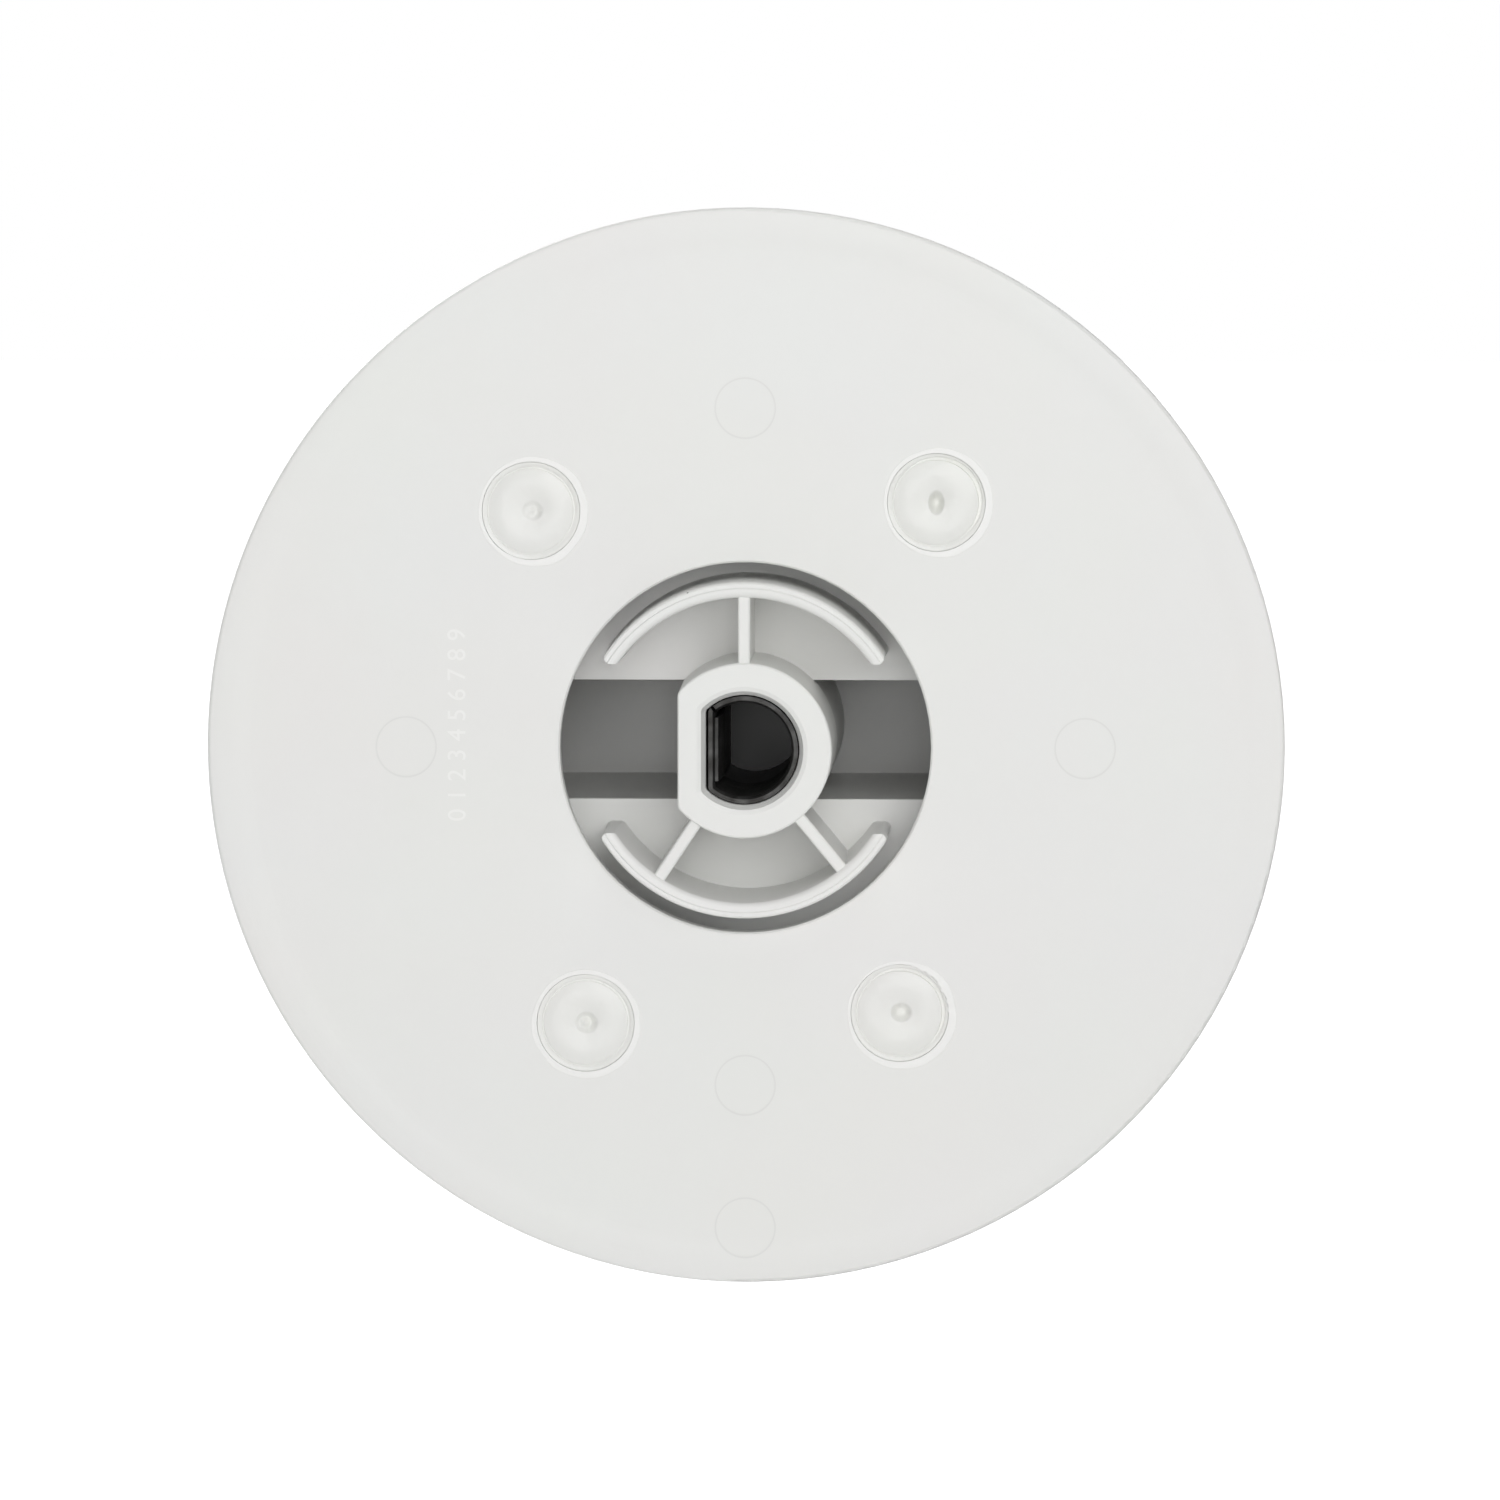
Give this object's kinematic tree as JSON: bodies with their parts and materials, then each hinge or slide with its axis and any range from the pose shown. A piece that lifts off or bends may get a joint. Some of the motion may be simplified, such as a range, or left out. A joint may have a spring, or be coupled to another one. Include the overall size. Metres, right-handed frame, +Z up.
{
  "type": "rotary control dial with knob",
  "caption": "Round white plastic control dial: a staked two-part skirt around a hollow finger-bar knob on a D-shaped, sleeve-lined hub.",
  "frame": {"origin": "on the shaft's axis, in the plane of the dial's rear rim, which meets the panel", "axes": "+Y along the shaft's axis towards the rear, into the panel; +Z up; the finger bar lies along X at rest"},
  "size_m": [0.073, 0.0275, 0.073],
  "materials": {
    "dial_white": "satin moulded ABS",
    "knob_white": "satin moulded ABS",
    "scale_ink": "printed ink",
    "spring_steel": "dark oiled spring steel",
    "pointer_grey": "gloss"
  },
  "bodies": {
    "dial": {"dial_back": "dial_white", "dial_face": "dial_white", "scale_marks": "scale_ink"},
    "knob": {"knob_body": "knob_white", "shaft_sleeve": "spring_steel", "leaf_spring": "spring_steel", "pointer_inlay": "pointer_grey"}
  },
  "joints": [
    {"name": "knob_turn", "type": "hinge", "parent": "dial", "child": "knob", "pos_m": [0, 0, 0], "axis": [0, 1, 0], "continuous": true}
  ]
}
